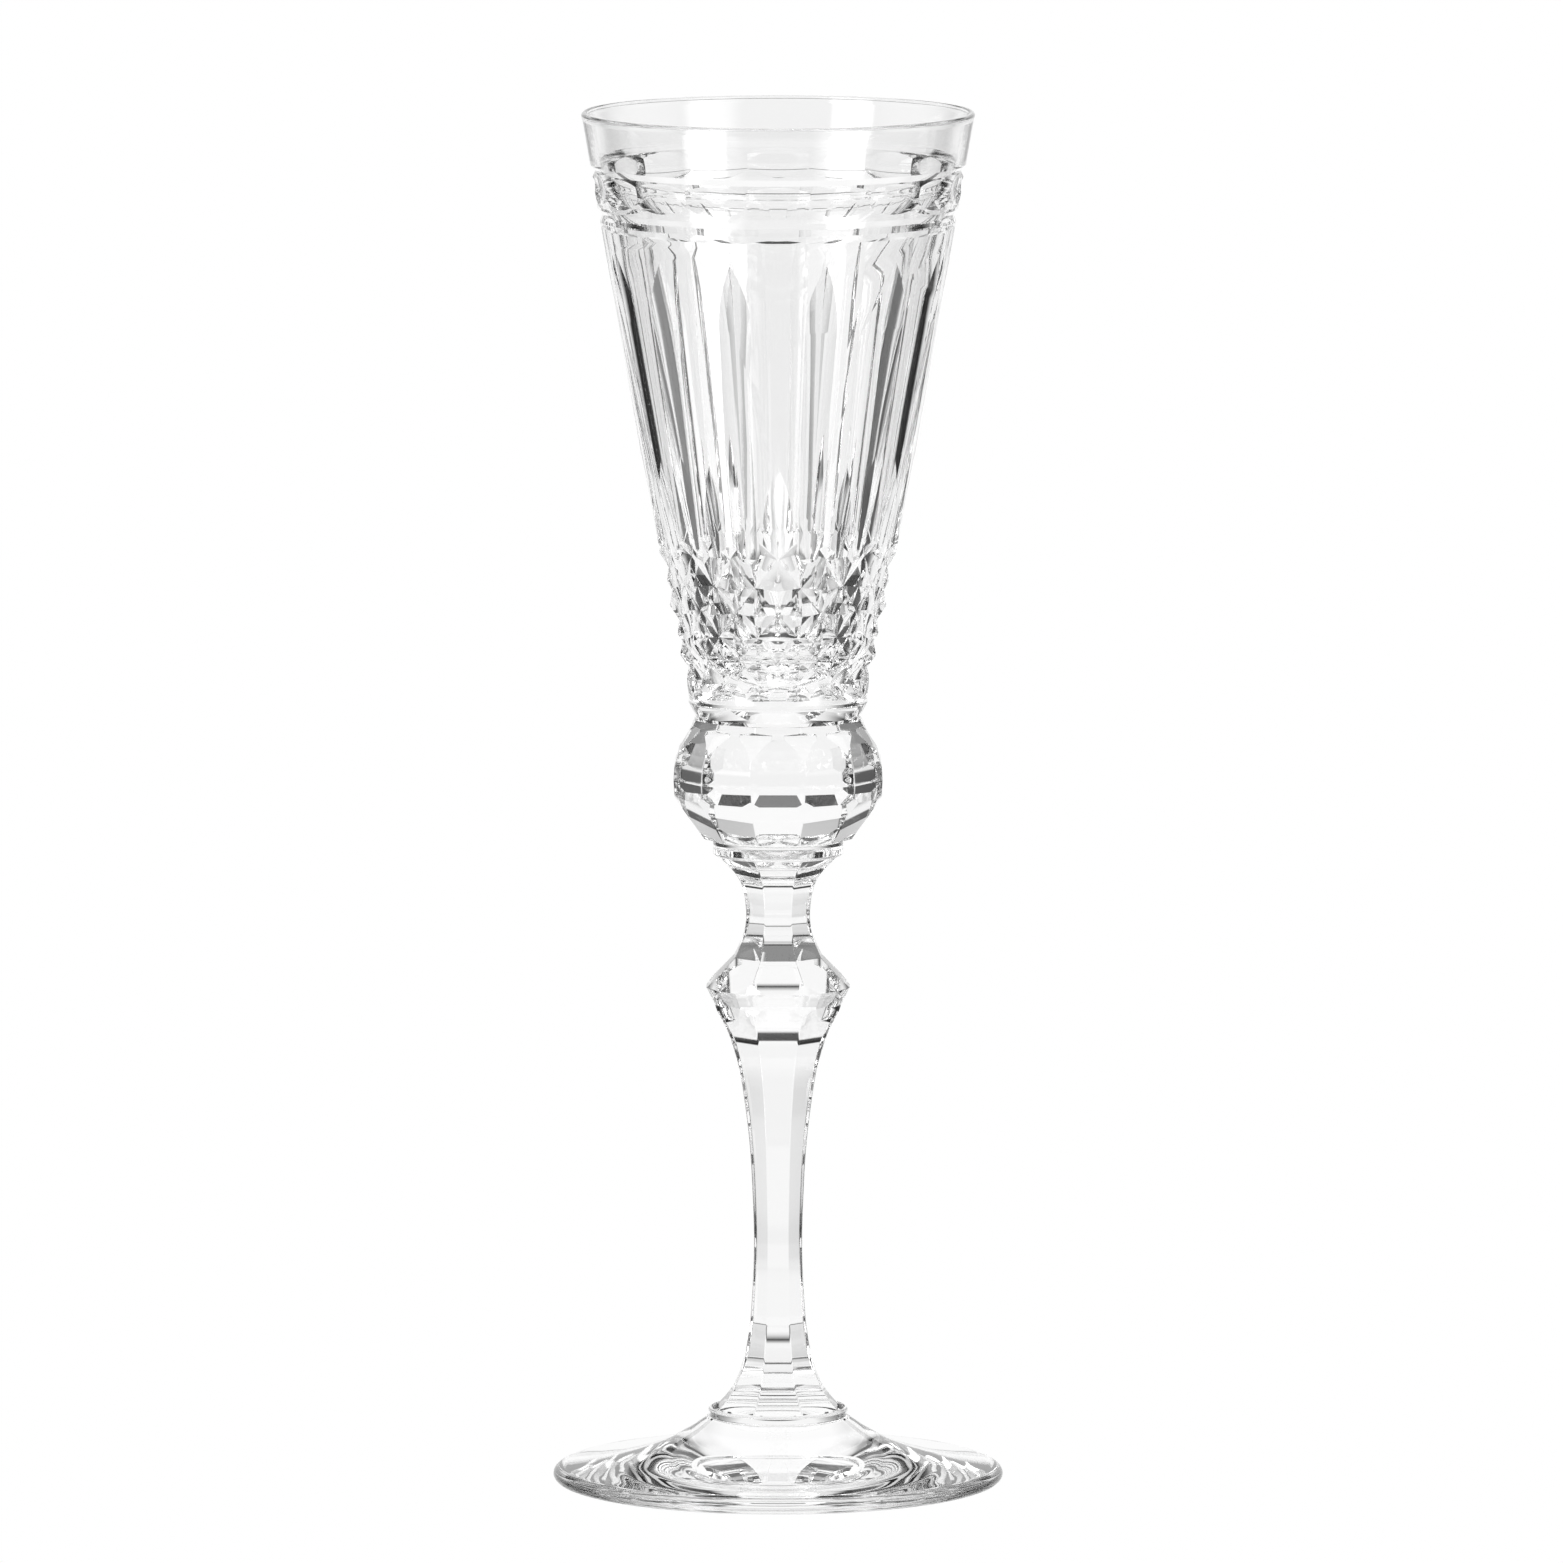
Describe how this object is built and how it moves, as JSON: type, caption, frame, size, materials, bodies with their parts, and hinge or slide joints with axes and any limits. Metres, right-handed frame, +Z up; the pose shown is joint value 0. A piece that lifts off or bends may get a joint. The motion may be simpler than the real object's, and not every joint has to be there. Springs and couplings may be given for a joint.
{
  "type": "champagne flute",
  "caption": "Tall cut-crystal champagne flute: conical bowl with flat panels and diamond cuts, faceted bulb, faceted stem and round foot.",
  "frame": {"origin": "centre of the flat underside of the foot, where the flute rests", "axes": "+Z up along the stem, from the foot to the rim; -Y faces the viewer"},
  "size_m": [0.0788, 0.0788, 0.2406],
  "materials": {
    "crystal": "clear, polished cuts"
  },
  "bodies": {
    "root": {"bowl": "crystal", "bulb": "crystal", "upper_collar": "crystal", "stem": "crystal", "lower_collar": "crystal", "foot": "crystal"}
  },
  "joints": []
}
